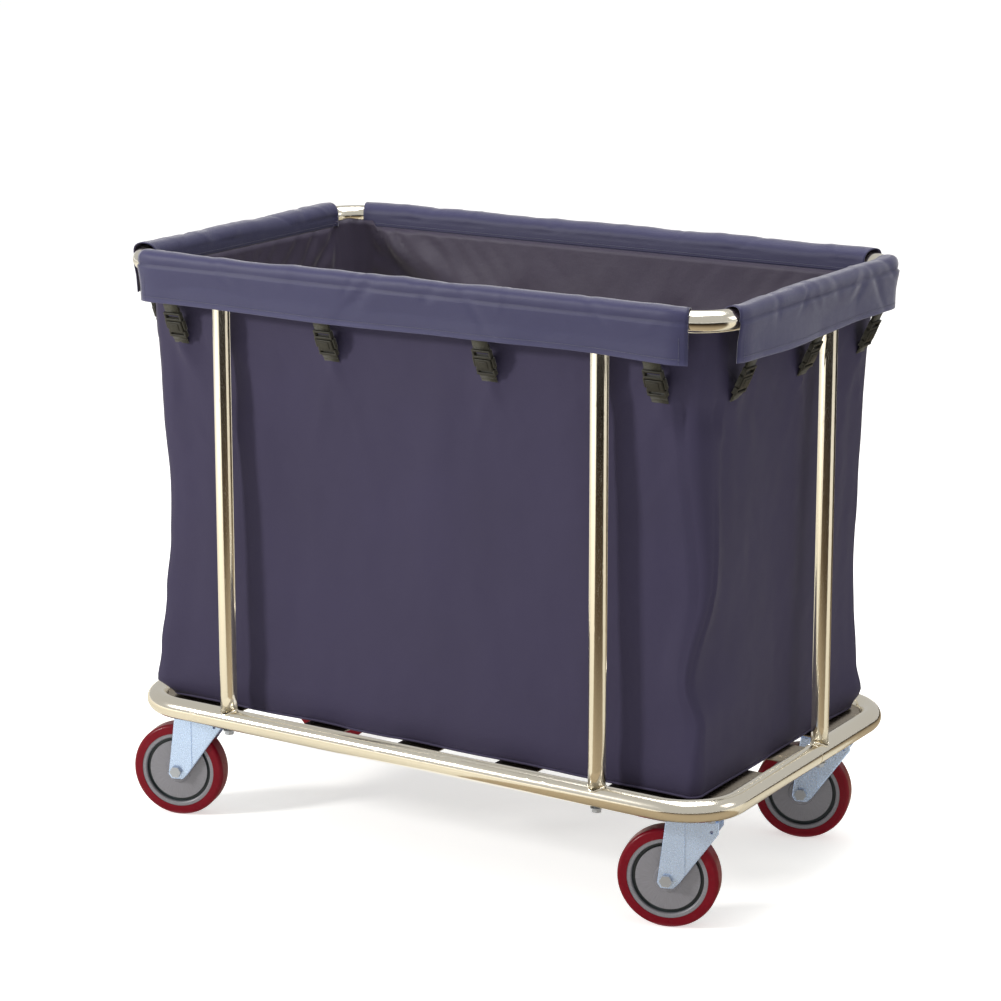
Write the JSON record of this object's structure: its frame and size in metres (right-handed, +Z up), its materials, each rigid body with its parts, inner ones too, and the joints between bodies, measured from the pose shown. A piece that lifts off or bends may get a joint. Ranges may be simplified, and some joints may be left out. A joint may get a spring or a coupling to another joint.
{
  "type": "linen trolley",
  "caption": "Linen trolley: an open tube frame with rounded corners on swivel casters, a deep cloth bag hung inside by flaps folded over the top rail and strapped with buckles.",
  "frame": {"origin": "on the floor, under the middle of the tube frame; the wheels stand turned to one side, so the box's middle is about 8 mm off in X", "axes": "+X along the trolley's length to its right end, +Y from the front long side to the back, +Z up"},
  "size_m": [1.0417, 0.6026, 0.8853],
  "materials": {
    "stainless_tube": "polished",
    "deck_steel": "polished",
    "zinc_steel": "bright zinc plate",
    "fasteners": "zinc plate",
    "bearing_steel": "ground",
    "tyre_red": "smooth polyurethane",
    "rim_plastic": "moulded",
    "bag_cloth": "coated oxford weave",
    "flap_cloth": "coated oxford weave",
    "webbing": "woven",
    "buckle_plastic": "moulded"
  },
  "bodies": {
    "frame": {"base_rail": "stainless_tube", "top_rail": "stainless_tube", "upright_front_left": "stainless_tube", "upright_front_right": "stainless_tube", "upright_back_left": "stainless_tube", "upright_back_right": "stainless_tube", "upright_left_end": "stainless_tube", "upright_right_end": "stainless_tube", "upright_plugs": "fasteners", "upright_bolts": "fasteners", "upright_washers": "fasteners", "deck_strip_left": "deck_steel", "deck_strip_middle": "deck_steel", "deck_strip_right": "deck_steel", "deck_strip_long": "deck_steel", "corner_plates": "deck_steel", "caster_pads": "zinc_steel", "caster_bolts": "fasteners", "caster_kingpins": "zinc_steel", "caster_balls": "bearing_steel", "caster_front_left_plate": "zinc_steel", "caster_front_right_plate": "zinc_steel", "caster_back_left_plate": "zinc_steel", "caster_back_right_plate": "zinc_steel", "bag_front": "bag_cloth", "bag_back": "bag_cloth", "bag_left": "bag_cloth", "bag_right": "bag_cloth", "bag_floor": "bag_cloth", "flap_front": "flap_cloth", "flap_back": "flap_cloth", "flap_left": "flap_cloth", "flap_right": "flap_cloth", "tie_straps": "webbing", "buckle_sockets": "buckle_plastic", "buckle_clips": "buckle_plastic"},
    "swivel_front_left": {"caster_front_left_fork": "zinc_steel", "caster_front_left_axle": "fasteners"},
    "wheel_front_left": {"caster_front_left_tyre": "tyre_red", "caster_front_left_rim": "rim_plastic", "caster_front_left_bearings": "bearing_steel"},
    "swivel_front_right": {"caster_front_right_fork": "zinc_steel", "caster_front_right_axle": "fasteners"},
    "wheel_front_right": {"caster_front_right_tyre": "tyre_red", "caster_front_right_rim": "rim_plastic", "caster_front_right_bearings": "bearing_steel"},
    "swivel_back_left": {"caster_back_left_fork": "zinc_steel", "caster_back_left_axle": "fasteners"},
    "wheel_back_left": {"caster_back_left_tyre": "tyre_red", "caster_back_left_rim": "rim_plastic", "caster_back_left_bearings": "bearing_steel"},
    "swivel_back_right": {"caster_back_right_fork": "zinc_steel", "caster_back_right_axle": "fasteners"},
    "wheel_back_right": {"caster_back_right_tyre": "tyre_red", "caster_back_right_rim": "rim_plastic", "caster_back_right_bearings": "bearing_steel"}
  },
  "joints": [
    {"name": "swivel_front_left", "type": "hinge", "parent": "frame", "child": "swivel_front_left", "pos_m": [-0.428, -0.208, 0.168], "axis": [0, 0, 1], "continuous": true},
    {"name": "spin_front_left", "type": "hinge", "parent": "swivel_front_left", "child": "wheel_front_left", "pos_m": [-0.46043, -0.21822, 0.072], "axis": [-0.3007, 0.9537, 0], "continuous": true},
    {"name": "swivel_front_right", "type": "hinge", "parent": "frame", "child": "swivel_front_right", "pos_m": [0.428, -0.208, 0.168], "axis": [0, 0, 1], "continuous": true},
    {"name": "spin_front_right", "type": "hinge", "parent": "swivel_front_right", "child": "wheel_front_right", "pos_m": [0.39557, -0.21822, 0.072], "axis": [-0.3007, 0.9537, 0], "continuous": true},
    {"name": "swivel_back_left", "type": "hinge", "parent": "frame", "child": "swivel_back_left", "pos_m": [-0.428, 0.208, 0.168], "axis": [0, 0, 1], "continuous": true},
    {"name": "spin_back_left", "type": "hinge", "parent": "swivel_back_left", "child": "wheel_back_left", "pos_m": [-0.46043, 0.19778, 0.072], "axis": [-0.3007, 0.9537, 0], "continuous": true},
    {"name": "swivel_back_right", "type": "hinge", "parent": "frame", "child": "swivel_back_right", "pos_m": [0.428, 0.208, 0.168], "axis": [0, 0, 1], "continuous": true},
    {"name": "spin_back_right", "type": "hinge", "parent": "swivel_back_right", "child": "wheel_back_right", "pos_m": [0.39557, 0.19778, 0.072], "axis": [-0.3007, 0.9537, 0], "continuous": true}
  ]
}
